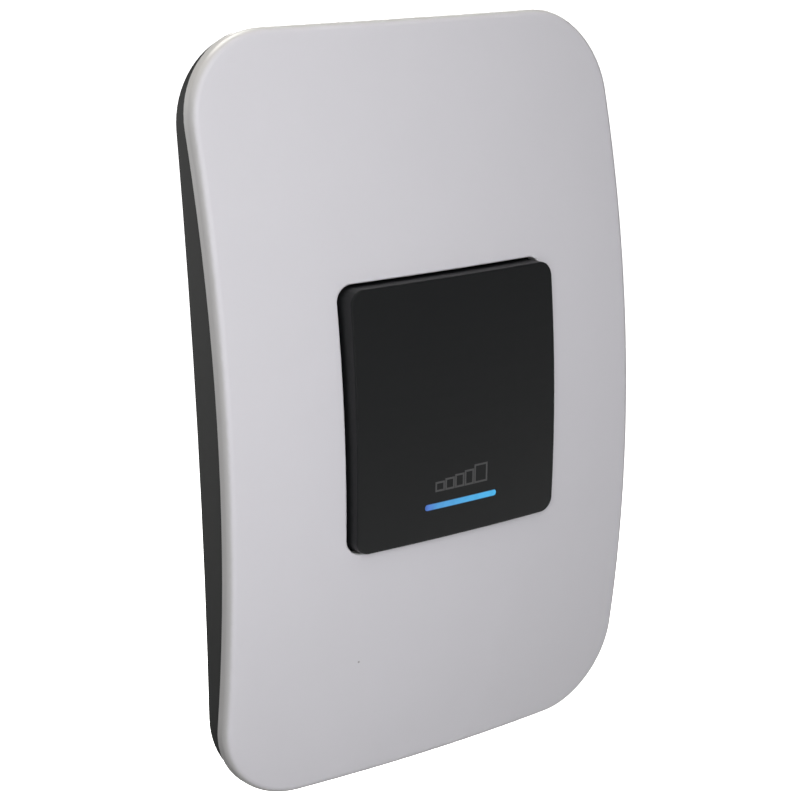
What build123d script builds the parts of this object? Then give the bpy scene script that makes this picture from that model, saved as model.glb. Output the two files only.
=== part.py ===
from build123d import *
from math import radians, sqrt, tan
import os

# Pushbutton dimmer on an arched wall plate, in millimetres.
# X runs to the right, Z up, and the front faces -Y. The wall is the plane Y = 0, and the origin
# lies midway between the two wall screws. A depth is a distance in front of the wall, so a piece
# behind the wall has a negative depth.

# Cover plate
plate_width = 79.0
plate_height = 120.0
plate_corner_radius = 14.1
plate_thickness = 2.2
plate_rise = 8.0
plate_crown = 2.8
rim_stand_off = 0.7
rim_radius = 1.4
window_edge_radius = 0.3
face_overhang = 8.0

# Base frame
base_side_inset = 0.3
base_end_inset = 0.6
base_corner_radius = 13.4
base_waist = 1.25
base_wall = 1.6
web_thickness = 2.0
seam_gap = 0.1

# Snap hooks between the cover plate and the base frame
hook_inset = 6.65
hook_z = 18.0
hook_width = 6.0
hook_thickness = 1.4
hook_barb = 0.8
hook_barb_length = 1.6
hook_tip_lift = 1.2
hook_clearance = 0.2
catch_wall = 1.6
catch_margin = 1.2

# Wall screws
fixing_spacing = 83.5
fixing_shank_radius = 1.95
fixing_neck_radius = 1.6
fixing_length = 25.0
fixing_head_radius = 3.6
fixing_head_height = 2.4
fixing_hole_clearance = 0.3
fixing_slot_length = 8.0
fixing_recess_length = 4.3

# Push button
button_width = 38.7
button_height = 41.3
button_lift = 0.6
button_corner_radius = 2.3
button_edge_radius = 0.3
button_proud = 2.5
button_lean = 1.37
button_wall = 1.6
button_face = 1.8
button_gap = 0.4

# Hinge of the button, along its bottom edge
press_angle = 1.9
hinge_above_edge = 3.6
pin_radius = 1.2
pin_margin = 0.3
pin_clearance = 0.05
stop_clearance = 0.15

# Hooks that keep the button on the deck
keeper_x = 10.0
keeper_width = 4.0
keeper_barb = 0.9
keeper_barb_length = 1.2
keeper_clearance = 0.1
keeper_slot_gap = 0.5

# Front chassis
deck_thickness = 2.2
deck_overlap = 1.7
deck_corner_radius = 2.0
bezel_wall = 1.4
bezel_clearance = 0.3

# Rear housing
housing_margin = 1.35
housing_wall = 1.5
housing_corner_radius = 2.0
housing_inner_radius = 0.5
housing_depth = 24.0
housing_fit = 0.2
bay_depth = 14.0
bay_margin = 3.2
snap_width = 8.0
snap_height = 0.9
snap_length = 1.8
snap_land = 1.0
snap_clearance = 0.1
vent_count = 6
vent_width = 1.6
vent_length = 12.0
vent_pitch = 4.0

# Housing screws and their bosses
boss_radius = 2.2
boss_inset = 3.6
boss_rib = 1.5
housing_screw_radius = 1.1
housing_screw_length = 12.0
housing_screw_head_radius = 1.9
housing_screw_head_height = 1.3
housing_recess_length = 2.3
recess_width = 0.6
recess_depth = 0.9
screw_clearance = 0.1
thread_clearance = 0.02

# Main board
board_thickness = 1.6
board_drop = 3.0
board_gap = 0.3

# Switch under the button
switch_above_hinge = 28.5
switch_width = 8.0
switch_height = 4.2
switch_gap = 0.5
plunger_radius = 1.7
plunger_height = 2.6
plunger_root = 1.2
plunger_clearance = 0.05
plunger_floor = 0.3
post_radius = 2.0
post_tip_radius = 0.9
post_gap = 0.08

# Return springs
spring_x = 12.0
spring_length = 6.0
spring_radius = 1.8
spring_wire_radius = 0.3
spring_turns = 5.0
spring_seat_depth = 0.8
spring_seat_gap = 0.3
spring_end_gap = 0.05
spigot_length = 2.0

# Light bar and level symbol
bar_length = 14.0
bar_width = 1.1
bar_above_edge = 5.55
bar_fit = 0.03
bar_foot_margin = 0.8
bar_foot_depth = 1.2
bar_stem_gap = 0.5
symbol_above_bar = 2.3
symbol_line = 0.32
symbol_depth = 0.3
symbol_gap = 0.07
symbol_box_width = 1.83
symbol_box_height = 1.65
symbol_box_growth = 0.3
symbol_last_width = 2.65
symbol_last_height = 3.15
symbol_count = 5

# Lamps under the light bar
led_width = 3.0
led_height = 1.6
led_thickness = 1.2
led_pitch = 4.5
led_count = 3
led_gap = 0.6

# Parts on the board
chip_width = 7.0
chip_height = 5.0
chip_thickness = 1.3
choke_side_gap = 3.0
choke_floor_gap = 1.0
choke_radius = 7.2
choke_length = 13.0
choke_flange = 1.4
choke_stem_radius = 3.6
winding_turns = 9
winding_clearance = 0.1
film_side_gap = 3.2
film_floor_gap = 0.7
film_width = 14.0
film_height = 7.0
film_length = 13.0
film_edge_radius = 0.8
fuse_side_gap = 1.7
fuse_radius = 4.0
fuse_length = 7.5
fuse_edge_radius = 0.5
supply_side_gap = 2.5
supply_radius = 4.0
supply_length = 12.0
supply_edge_radius = 0.6
can_top_gap = 1.0
resistor_side_gap = 2.5
resistor_floor_gap = 0.8
resistor_spacing = 1.2
resistor_radius = 1.1
resistor_length = 6.3
resistor_count = 3

# Power transistors and their heat sink
sink_side_gap = 0.7
sink_thickness = 1.6
sink_end_gap = 1.9
sink_below_top = 5.0
transistor_x = 8.0
transistor_width = 10.0
transistor_thickness = 4.4
transistor_body = 9.0
transistor_tab = 6.0
transistor_tab_thickness = 1.3
transistor_lead_width = 0.8
transistor_lead_pitch = 2.54
sink_screw_radius = 1.4
sink_screw_head_radius = 2.4
sink_screw_head_height = 1.4

# Wire terminals
terminal_side_gap = 0.2
terminal_count = 3
terminal_width = 8.0
terminal_height = 9.0
terminal_wall_gap = 0.3
wire_radius = 1.75
wire_floor = 1.6
wire_above_base = 5.7
wire_entry_clearance = 0.35
terminal_screw_radius = 1.45
terminal_screw_head_radius = 2.4
terminal_screw_head_height = 1.6
terminal_access_clearance = 0.4
slot_width = 0.7
slot_depth = 0.7

# Derived places of the faces
face_depth = rim_stand_off + plate_thickness + plate_rise + plate_crown
arch_radius = ((plate_height / 2) ** 2 + plate_rise ** 2) / (2 * plate_rise)
crown_radius = ((plate_width / 2) ** 2 + plate_crown ** 2) / (2 * plate_crown)
arch_axis_y = arch_radius - face_depth
beyond_face = face_depth + button_proud + plate_rise
hook_x = plate_width / 2 - base_side_inset - base_waist - base_wall - hook_inset

# Derived places of the button and its hinge
button_top = button_lift + button_height / 2
button_bottom = button_lift - button_height / 2
hinge_z = button_bottom + hinge_above_edge
deck_back = web_thickness
deck_front = deck_back + deck_thickness
top_travel = (button_top - hinge_z) * tan(radians(press_angle))
button_back = deck_front + top_travel + stop_clearance
hinge_depth = button_back + pin_radius + pin_margin

# Derived places of the chassis, housing and board
bezel_width = button_width + 2 * (button_gap + bezel_wall)
bezel_height = button_height + 2 * (button_gap + bezel_wall)
housing_width = bezel_width + 2 * housing_margin
housing_height = bezel_height + 2 * housing_margin
housing_top = button_lift + housing_height / 2
housing_bottom = button_lift - housing_height / 2
boss_x = housing_width / 2 - housing_wall - boss_inset
boss_z = housing_height / 2 - housing_wall - boss_inset
boss_places = [(sx * boss_x, button_lift + sz * boss_z) for sx in (-1, 1) for sz in (-1, 1)]
board_width = housing_width - 2 * (housing_wall + board_gap)
board_height = housing_height - 2 * (housing_wall + board_gap)
board_front = deck_back - board_drop
board_back = board_front - board_thickness

# Derived places of the switch, springs and light bar
switch_z = hinge_z + switch_above_hinge
switch_front = board_front + switch_height
plunger_back = switch_front - plunger_root
plunger_front = switch_front + plunger_height
plunger_travel = switch_above_hinge * radians(press_angle)
spring_back = deck_front - spring_seat_depth
spring_places = [(-spring_x, switch_z), (spring_x, switch_z)]
bar_z = button_bottom + bar_above_edge
symbol_z = bar_z + symbol_above_bar
led_front = board_front + led_thickness

# Derived places of the terminals
terminal_base = housing_bottom + housing_wall + terminal_wall_gap
terminal_back = housing_wall + terminal_wall_gap - bay_depth
terminal_top = terminal_base + terminal_height
terminal_row = 2 * (boss_x - boss_radius - terminal_side_gap) - terminal_width
terminal_places = [(i / (terminal_count - 1) - 0.5) * terminal_row for i in range(terminal_count)]
wire_length = board_back - terminal_back - wire_floor
wire_z = terminal_base + wire_above_base
clamp_screw_depth = terminal_back + wire_length / 2

# Derived places of the parts behind the board
deep_bottom = terminal_top + bay_margin
deep_floor = deep_bottom + housing_wall
sink_z = housing_top - housing_wall - sink_below_top
sink_back = housing_wall + sink_end_gap - housing_depth
sink_width = 2 * (boss_x - boss_radius - sink_side_gap)
transistor_back = sink_back + transistor_tab
transistor_front = transistor_back + transistor_body
tab_screw_depth = sink_back + transistor_tab / 2
choke_x = choke_side_gap + choke_radius - board_width / 2
choke_z = deep_floor + choke_floor_gap + choke_radius
film_x = board_width / 2 - film_side_gap - film_width / 2
film_z = deep_floor + film_floor_gap + film_height / 2
fuse_x = board_width / 2 - fuse_side_gap - fuse_radius
fuse_z = sink_z - transistor_thickness - can_top_gap - fuse_radius
supply_x = fuse_x - fuse_radius - supply_side_gap - supply_radius
supply_z = sink_z - transistor_thickness - can_top_gap - supply_radius
resistor_x = resistor_side_gap + resistor_length / 2 - board_width / 2
resistor_z = terminal_top + resistor_floor_gap + resistor_radius


def front_plane(depth):
    return Plane(origin=(0, -depth, 0), x_dir=(1, 0, 0), z_dir=(0, -1, 0))


def prism(outline, back, front):
    """An outline drawn in X and Z, carried from one depth to another."""
    return extrude(front_plane(back) * outline, amount=front - back)


def round_post(x, z, radius, back, front):
    return prism(Pos(x, z) * Circle(radius), back, front)


def block(x, z, width, height, back, front):
    return prism(Pos(x, z) * Rectangle(width, height), back, front)


def rod_x(radius, x0, x1, depth, z):
    return Pos((x0 + x1) / 2, -depth, z) * Rot(0, 90, 0) * Cylinder(radius, x1 - x0)


def rod_z(radius, z0, z1, x, depth):
    return Pos(x, -depth, (z0 + z1) / 2) * Cylinder(radius, z1 - z0)


def bar_along_x(points, x0, x1):
    """A section drawn in depth and Z, carried along X."""
    section = make_face(Polyline([(-depth, z) for depth, z in points], close=True))
    return extrude(Plane.YZ.offset(x0) * section, amount=x1 - x0)


def bar_along_z(points, z0, z1):
    """A section drawn in X and depth, carried along Z."""
    section = make_face(Polyline([(x, -depth) for x, depth in points], close=True))
    return extrude(Plane.XY.offset(z0) * section, amount=z1 - z0)


def plate_depth(x, z):
    """Depth of the plate's curved face at a point."""
    radius = arch_radius - crown_radius + sqrt(crown_radius ** 2 - x ** 2)
    return sqrt(radius ** 2 - z ** 2) - arch_axis_y


def button_depth(x, z):
    return plate_depth(x, z) + button_proud + z * tan(radians(button_lean))


def behind_face(offset):
    """All that lies behind the doubly curved face, moved back by an offset."""
    reach = plate_width / 2 + face_overhang
    middle = arch_axis_y + arch_radius - offset
    radius = crown_radius - offset
    edge = middle - radius + sqrt(radius ** 2 - reach ** 2)
    profile = Curve() + [
        Line((-reach, arch_axis_y), (reach, arch_axis_y)),
        Line((reach, arch_axis_y), (reach, edge)),
        ThreePointArc((reach, edge), (0, middle), (-reach, edge)),
        Line((-reach, edge), (-reach, arch_axis_y)),
    ]
    return revolve(make_face(profile), axis=Axis((0, arch_axis_y, 0), (1, 0, 0)))


def behind_button_face(offset):
    """The same curve for the button: further out, and leaning out at the top."""
    pivot = face_depth + button_proud
    return Pos(0, -pivot, 0) * Rot(button_lean, 0, 0) * Pos(0, pivot, 0) * behind_face(offset - button_proud)


def window_outline(gap):
    width = button_width + 2 * gap
    height = button_height + 2 * gap
    return Pos(0, button_lift) * RectangleRounded(width, height, button_corner_radius + gap)


def front_screw(x, z, seat, shank_radius, length, head_radius, head_height, recess_length):
    """Screw with a cross recess in its head, which stands in front of its seat."""
    head_front = seat + head_height
    screw = round_post(x, z, shank_radius, seat - length, seat)
    screw += round_post(x, z, head_radius, seat, head_front)
    cross = Rectangle(recess_length, recess_width) + Rectangle(recess_width, recess_length)
    return screw - prism(Pos(x, z) * cross, head_front - recess_depth, head_front)


def cover_plate():
    outline = RectangleRounded(plate_width, plate_height, plate_corner_radius)
    plate = prism(outline, 0, beyond_face) & behind_face(0)
    plate = fillet(plate.faces().sort_by(Axis.Y)[0].edges(), rim_radius)
    plate -= behind_face(plate_thickness)
    plate -= prism(window_outline(button_gap), 0, beyond_face)
    front = plate.faces().sort_by(SortBy.AREA)[-2:].sort_by(Axis.Y)[0]
    plate = fillet(front.inner_wires()[0].edges(), window_edge_radius)
    for sx in (-1, 1):
        for sz in (-1, 1):
            plate += snap_hook(sx, sz)
    return plate


def hook_depths():
    """Depths of a snap hook's tip and of its barb's front end."""
    tip = web_thickness + hook_tip_lift
    return tip, tip + hook_barb_length


def snap_hook(sx, sz):
    """Tongue behind the cover plate, with a barb that points away from the button."""
    tip, barb_front = hook_depths()
    inner = hook_x - hook_thickness / 2
    outer = hook_x + hook_thickness / 2
    root = plate_depth(hook_x, hook_z) - plate_thickness / 2
    section = [
        (sx * inner, tip),
        (sx * outer, tip),
        (sx * (outer + hook_barb), barb_front),
        (sx * outer, barb_front),
        (sx * outer, root),
        (sx * inner, root),
    ]
    middle = sz * hook_z
    return bar_along_z(section, middle - hook_width / 2, middle + hook_width / 2)


def snap_catch(sx, sz):
    """Upright on the base frame, with a slot that takes the hook's barb."""
    barb_front = hook_depths()[1]
    x = sx * (hook_x + hook_thickness / 2 + hook_clearance + catch_wall / 2)
    z = sz * hook_z
    slot_height = hook_width + 2 * hook_clearance
    top = barb_front + hook_clearance + catch_margin
    wall = block(x, z, catch_wall, slot_height + 2 * catch_margin, 0, top)
    slot = block(x, z, catch_wall, slot_height, web_thickness, barb_front + hook_clearance)
    return wall - slot


def base_outline(inset, waist):
    half_width = plate_width / 2 - base_side_inset - inset
    half_height = plate_height / 2 - base_end_inset - inset
    corners = [(half_width, -half_height), (half_width, half_height)]
    corners += [(-half_width, half_height), (-half_width, -half_height)]
    waists = [(half_width - waist, 0), None, (waist - half_width, 0), None]
    edges = []
    for i, via in enumerate(waists):
        start = corners[i]
        end = corners[(i + 1) % 4]
        if via and waist > 0:
            edges.append(ThreePointArc(start, via, end))
        else:
            edges.append(Line(start, end))
    face = make_face(Curve() + edges)
    return fillet(face.vertices(), base_corner_radius - inset)


def base_body(inset):
    """The frame's outer form: drawn in at the waist on the wall, straight under the plate."""
    rear = front_plane(0) * base_outline(inset, base_waist)
    front = front_plane(face_depth) * base_outline(inset, 0)
    return loft([rear, front], ruled=True)


def base_frame():
    frame = base_body(0) & behind_face(plate_thickness + seam_gap)
    room = Rectangle(2 * plate_width, 2 * plate_height)
    frame -= base_body(base_wall) & prism(room, web_thickness, beyond_face)
    opening_width = housing_width + 2 * housing_fit
    opening_height = housing_height + 2 * housing_fit
    opening = RectangleRounded(opening_width, opening_height, housing_corner_radius + housing_fit)
    frame -= prism(Pos(0, button_lift) * opening, 0, web_thickness)
    pocket_width = snap_width + 2 * housing_fit
    pocket_height = opening_height + 2 * snap_height
    frame -= block(0, button_lift, pocket_width, pocket_height, 0, web_thickness - snap_land)
    slot = SlotOverall(fixing_slot_length, 2 * (fixing_shank_radius + fixing_hole_clearance))
    for sz in (-1, 1):
        frame -= prism(Pos(0, sz * fixing_spacing / 2) * slot, 0, web_thickness)
    for sx in (-1, 1):
        for sz in (-1, 1):
            frame += snap_catch(sx, sz)
    return frame


def fixing_screws():
    """Screws with a plain neck through the web, so that the thread begins at the wall."""
    neck = (fixing_neck_radius, web_thickness)
    head = (fixing_head_radius, fixing_head_height, fixing_recess_length)
    screws = []
    for sz in (-1, 1):
        z = sz * fixing_spacing / 2
        screw = front_screw(0, z, web_thickness, *neck, *head)
        screws.append(screw + round_post(0, z, fixing_shank_radius, web_thickness - fixing_length, 0))
    return screws


def keeper_slots():
    """Slots in the deck for the button's two keeper hooks."""
    width = keeper_width + 2 * keeper_slot_gap
    height = button_wall + 2 * keeper_slot_gap
    z = button_top - button_wall / 2
    return [block(sx * keeper_x, z, width, height, deck_back, deck_front) for sx in (-1, 1)]


def front_chassis():
    width = housing_width + 2 * deck_overlap
    height = housing_height + 2 * deck_overlap
    outline = RectangleRounded(width, height, deck_corner_radius)
    deck = prism(Pos(0, button_lift) * outline, deck_back, deck_front)
    corner_depth = plate_depth(bezel_width / 2, abs(button_lift) + bezel_height / 2)
    bezel_front = corner_depth - plate_thickness - bezel_clearance
    deck += prism(window_outline(button_gap + bezel_wall), deck_back, bezel_front)
    deck -= prism(window_outline(button_gap), deck_front, bezel_front)
    deck -= rod_x(pin_radius + pin_clearance, -bezel_width, bezel_width, hinge_depth, hinge_z)
    switch_room = switch_width + 2 * switch_gap
    deck -= block(0, switch_z, switch_room, switch_room, deck_back, deck_front)
    stem_room = bar_width + 2 * (bar_foot_margin + bar_stem_gap)
    deck -= block(0, bar_z, bar_length + 2 * bar_stem_gap, stem_room, deck_back, deck_front)
    for slot in keeper_slots():
        deck -= slot
    seat_radius = spring_radius + spring_wire_radius + spring_seat_gap
    for x, z in spring_places:
        deck -= round_post(x, z, seat_radius, spring_back, deck_front)
    head_seat = deck_front - housing_screw_head_height
    for x, z in boss_places:
        deck += round_post(x, z, boss_radius, board_front, deck_back)
        deck -= round_post(x, z, housing_screw_radius + screw_clearance, board_front, deck_front)
        deck -= round_post(x, z, housing_screw_head_radius + screw_clearance, head_seat, deck_front)
    return deck


def housing_box(bottom, top, width, corner, back):
    outline = RectangleRounded(width, top - bottom, corner)
    return prism(Pos(0, (bottom + top) / 2) * outline, back, deck_back)


def housing_shell(inset, corner):
    """The housing's stepped box: a deep part above and a shallow terminal bay below."""
    width = housing_width - 2 * inset
    top = housing_top - inset
    bay = housing_box(housing_bottom + inset, top, width, corner, inset - bay_depth)
    return bay + housing_box(deep_bottom + inset, top, width, corner, inset - housing_depth)


def rear_housing():
    housing = housing_shell(0, housing_corner_radius)
    housing -= housing_shell(housing_wall, housing_inner_radius)
    side = housing_width / 2 - housing_wall / 2
    for x, z in boss_places:
        depth = housing_depth if z > button_lift else bay_depth
        end = -(depth - housing_wall / 2)
        housing += round_post(x, z, boss_radius, end, board_back)
        reach = side - abs(x)
        outward = 1 if x > 0 else -1
        housing += block(x + outward * reach / 2, z, reach, boss_rib, end, board_back)
        screw_end = deck_front - housing_screw_head_height - housing_screw_length - screw_clearance
        housing -= round_post(x, z, housing_screw_radius + thread_clearance, screw_end, board_back)
    for x in terminal_places:
        housing -= round_post(x, wire_z, wire_radius + wire_entry_clearance, -bay_depth, terminal_back)
        access_radius = terminal_screw_head_radius + terminal_access_clearance
        inside = housing_bottom + housing_wall
        housing -= rod_z(access_radius, housing_bottom - housing_wall, inside, x, clamp_screw_depth)
    for i in range(vent_count):
        x = (i - (vent_count - 1) / 2) * vent_pitch
        z = (deep_bottom + housing_top) / 2
        housing -= block(x, z, vent_width, vent_length, -housing_depth, housing_wall - housing_depth)
    catch = web_thickness - snap_land - snap_clearance
    for end, outward in ((housing_top, 1), (housing_bottom, -1)):
        wedge = [
            (catch, end - outward * housing_wall / 2),
            (catch, end + outward * snap_height),
            (catch - snap_length, end),
            (catch - snap_length, end - outward * housing_wall / 2),
        ]
        housing += bar_along_x(wedge, -snap_width / 2, snap_width / 2)
    return housing


def housing_screws():
    seat = deck_front - housing_screw_head_height
    shank = (housing_screw_radius, housing_screw_length)
    head = (housing_screw_head_radius, housing_screw_head_height, housing_recess_length)
    return [front_screw(x, z, seat, *shank, *head) for x, z in boss_places]


def main_board():
    board = block(0, button_lift, board_width, board_height, board_back, board_front)
    for x, z in boss_places:
        board -= round_post(x, z, housing_screw_radius + screw_clearance, board_back, board_front)
    return board


def level_symbol():
    """Five outlined boxes on one base line, growing to the right, let into the button's face."""
    widths = [symbol_box_width] * (symbol_count - 1) + [symbol_last_width]
    heights = [symbol_box_height + i * symbol_box_growth for i in range(symbol_count - 1)]
    heights.append(symbol_last_height)
    left = -(sum(widths) + (symbol_count - 1) * symbol_gap) / 2
    boxes = Sketch()
    for width, height in zip(widths, heights):
        inner = Rectangle(width - 2 * symbol_line, height - 2 * symbol_line)
        boxes += Pos(left + width / 2, symbol_z + height / 2) * (Rectangle(width, height) - inner)
        left += width + symbol_gap
    ink = prism(boxes, button_back, beyond_face) & behind_button_face(0)
    return ink - behind_button_face(symbol_depth)


def push_button():
    button = prism(window_outline(0), button_back, beyond_face) & behind_button_face(0)
    button = fillet(button.faces().sort_by(Axis.Y)[0].edges(), button_edge_radius)
    hollow = prism(window_outline(-button_wall), button_back, beyond_face)
    button -= hollow & behind_button_face(button_face)
    for sx in (-1, 1):
        wall = button_width / 2 - button_wall / 2
        tip = bezel_width / 2 - pin_clearance
        button += rod_x(pin_radius, min(sx * wall, sx * tip), max(sx * wall, sx * tip), hinge_depth, hinge_z)
        button += keeper_hook(sx)
    button += switch_post()
    for x, z in spring_places:
        boss_back = spring_back + spring_length
        root = button_depth(x, z) - button_face / 2
        button += round_post(x, z, spring_radius + spring_wire_radius, boss_back, root)
        spigot_radius = spring_radius - spring_wire_radius - spring_seat_gap
        button += round_post(x, z, spigot_radius, boss_back - spigot_length, boss_back)
    slot = SlotOverall(bar_length + 2 * bar_fit, bar_width + 2 * bar_fit)
    button -= prism(Pos(0, bar_z) * slot, button_back, beyond_face)
    return button - level_symbol()


def keeper_hook(sx):
    """Tongue that carries on from the top wall and catches behind the deck."""
    catch = deck_back - keeper_clearance
    tip = catch - keeper_barb_length
    inner = button_top - button_wall
    section = [
        (button_back + button_wall, button_top),
        (tip, button_top),
        (tip, inner),
        (catch, inner - keeper_barb),
        (catch, inner),
        (button_back + button_wall, inner),
    ]
    x = sx * keeper_x
    return bar_along_x(section, x - keeper_width / 2, x + keeper_width / 2)


def switch_post():
    """Post with a rounded tip that rests just off the switch's plunger."""
    tip = plunger_front + post_gap
    root = button_depth(0, switch_z) - button_face / 2
    post = round_post(0, switch_z, post_radius, tip, root)
    return fillet(post.faces().sort_by(Axis.Y)[-1].edges(), post_tip_radius)


def light_guide():
    bar = prism(Pos(0, bar_z) * SlotOverall(bar_length, bar_width), led_front + led_gap, beyond_face)
    guide = bar & behind_button_face(0)
    foot_back = button_depth(bar_length / 2, bar_z) - button_face - bar_foot_depth
    foot_width = bar_length + 2 * bar_foot_margin
    foot = block(0, bar_z, foot_width, bar_width + 2 * bar_foot_margin, foot_back, beyond_face)
    return guide + (foot & behind_button_face(button_face))


def indicator_leds():
    places = [(i - (led_count - 1) / 2) * led_pitch for i in range(led_count)]
    return [block(x, bar_z, led_width, led_height, board_front, led_front) for x in places]


def tact_switch():
    body = block(0, switch_z, switch_width, switch_width, board_front, switch_front)
    floor = plunger_back - plunger_travel - plunger_floor
    return body - round_post(0, switch_z, plunger_radius + plunger_clearance, floor, switch_front)


def tact_plunger():
    return round_post(0, switch_z, plunger_radius, plunger_back, plunger_front)


def return_springs():
    height = spring_length - 2 * (spring_wire_radius + spring_end_gap)
    path = Helix(height / spring_turns, height, spring_radius)
    coil = sweep(Plane(origin=path @ 0, z_dir=path % 0) * Circle(spring_wire_radius), path=path)
    start = spring_back + spring_wire_radius + spring_end_gap
    return [Pos(x, -start, z) * Rot(90, 0, 0) * coil for x, z in spring_places]


def controller_chip():
    z = (bar_z + switch_z) / 2
    return block(0, z, chip_width, chip_height, board_front, board_front + chip_thickness)


def choke_core():
    """Ferrite spool that stands on the back of the board."""
    end = board_back - choke_length
    core = round_post(choke_x, choke_z, choke_stem_radius, end, board_back)
    core += round_post(choke_x, choke_z, choke_radius, end, end + choke_flange)
    return core + round_post(choke_x, choke_z, choke_radius, board_back - choke_flange, board_back)


def choke_winding():
    """Turns of wire on the spool, as one ridged sleeve."""
    length = choke_length - 2 * (choke_flange + winding_clearance)
    pitch = length / winding_turns
    inner = choke_stem_radius + winding_clearance
    outer = choke_radius - pitch / 2 - winding_clearance
    edges = [Line((outer, 0), (inner, 0)), Line((inner, 0), (inner, length))]
    edges.append(Line((inner, length), (outer, length)))
    for i in range(winding_turns):
        low = i * pitch
        edges.append(ThreePointArc((outer, low), (outer + pitch / 2, low + pitch / 2), (outer, low + pitch)))
    sleeve = revolve(Plane.XZ * make_face(Curve() + edges), axis=Axis.Z)
    start = board_back - choke_flange - winding_clearance
    return Pos(choke_x, -start, choke_z) * Rot(-90, 0, 0) * sleeve


def film_capacitor():
    body = block(film_x, film_z, film_width, film_height, board_back - film_length, board_back)
    return fillet(body.edges().filter_by(Axis.Y), film_edge_radius)


def standing_can(x, z, radius, length, edge_radius):
    """Round part that stands on the back of the board."""
    can = round_post(x, z, radius, board_back - length, board_back)
    return fillet(can.faces().sort_by(Axis.Y)[-1].edges(), edge_radius)


def supply_capacitor():
    return standing_can(supply_x, supply_z, supply_radius, supply_length, supply_edge_radius)


def fuse():
    return standing_can(fuse_x, fuse_z, fuse_radius, fuse_length, fuse_edge_radius)


def resistors():
    places = [resistor_x + i * (resistor_length + resistor_spacing) for i in range(resistor_count)]
    depth = board_back - resistor_radius
    half = resistor_length / 2
    return [rod_x(resistor_radius, x - half, x + half, depth, resistor_z) for x in places]


def power_transistors():
    pieces = []
    tab_z = sink_z - transistor_tab_thickness / 2
    body_z = sink_z - transistor_thickness / 2
    lead = transistor_lead_width
    for x in (-transistor_x, transistor_x):
        piece = block(x, body_z, transistor_width, transistor_thickness, transistor_back, transistor_front)
        piece += block(x, tab_z, transistor_width, transistor_tab_thickness, sink_back, transistor_front)
        for i in (-1, 0, 1):
            piece += block(x + i * transistor_lead_pitch, body_z, lead, lead, transistor_front, board_back)
        hole_radius = sink_screw_radius + screw_clearance
        piece -= rod_z(hole_radius, sink_z - transistor_thickness, sink_z, x, tab_screw_depth)
        pieces.append(piece)
    return pieces


def heat_sink():
    sink = block(0, sink_z + sink_thickness / 2, sink_width, sink_thickness, sink_back, board_back)
    for x in (-transistor_x, transistor_x):
        hole_radius = sink_screw_radius + thread_clearance
        sink -= rod_z(hole_radius, sink_z, sink_z + sink_thickness, x, tab_screw_depth)
    return sink


def heat_sink_screws():
    pieces = []
    seat = sink_z - transistor_tab_thickness
    for x in (-transistor_x, transistor_x):
        screw = rod_z(sink_screw_radius, seat, sink_z + sink_thickness, x, tab_screw_depth)
        screw += rod_z(sink_screw_head_radius, seat - sink_screw_head_height, seat, x, tab_screw_depth)
        pieces.append(screw)
    return pieces


def terminal_clamps():
    pieces = []
    for x in terminal_places:
        middle = (terminal_base + terminal_top) / 2
        clamp = block(x, middle, terminal_width, terminal_height, terminal_back, board_back)
        clamp -= round_post(x, wire_z, wire_radius, terminal_back, terminal_back + wire_length)
        thread_radius = terminal_screw_radius + thread_clearance
        clamp -= rod_z(thread_radius, terminal_base, wire_z, x, clamp_screw_depth)
        pieces.append(clamp)
    return pieces


def terminal_screws():
    pieces = []
    for x in terminal_places:
        tip = wire_z - wire_radius - screw_clearance
        head_end = terminal_base - terminal_screw_head_height
        screw = rod_z(terminal_screw_radius, terminal_base, tip, x, clamp_screw_depth)
        screw += rod_z(terminal_screw_head_radius, head_end, terminal_base, x, clamp_screw_depth)
        slot = Box(2 * terminal_screw_head_radius, slot_width, slot_depth)
        pieces.append(screw - Pos(x, -clamp_screw_depth, head_end + slot_depth / 2) * slot)
    return pieces


nodes = {
    "cover_plate": cover_plate,
    "base_frame": base_frame,
    "fixing_screws": fixing_screws,
    "front_chassis": front_chassis,
    "rear_housing": rear_housing,
    "housing_screws": housing_screws,
    "main_board": main_board,
    "push_button": push_button,
    "light_guide": light_guide,
    "level_symbol": level_symbol,
    "indicator_leds": indicator_leds,
    "tact_switch": tact_switch,
    "tact_plunger": tact_plunger,
    "return_springs": return_springs,
    "controller_chip": controller_chip,
    "choke_core": choke_core,
    "choke_winding": choke_winding,
    "film_capacitor": film_capacitor,
    "supply_capacitor": supply_capacitor,
    "fuse": fuse,
    "resistors": resistors,
    "power_transistors": power_transistors,
    "heat_sink": heat_sink,
    "heat_sink_screws": heat_sink_screws,
    "terminal_clamps": terminal_clamps,
    "terminal_screws": terminal_screws,
}

os.makedirs("parts", exist_ok=True)
for name, make in nodes.items():
    shape = make()
    if isinstance(shape, list):
        shape = Compound(children=shape)
    export_step(shape, f"parts/{name}.step")

print("hinge at depth", round(hinge_depth, 3), "and height", round(hinge_z, 3))
print("plunger travel", round(plunger_travel, 4), "switch height", round(switch_z, 3))
print("wire holes at", terminal_places, "depth", round(terminal_back, 3), "and height", round(wire_z, 3))
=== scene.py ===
import bmesh
import bpy
import math
from bpy.props import FloatProperty, FloatVectorProperty, IntProperty, PointerProperty
from mathutils import Matrix, Vector


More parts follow.
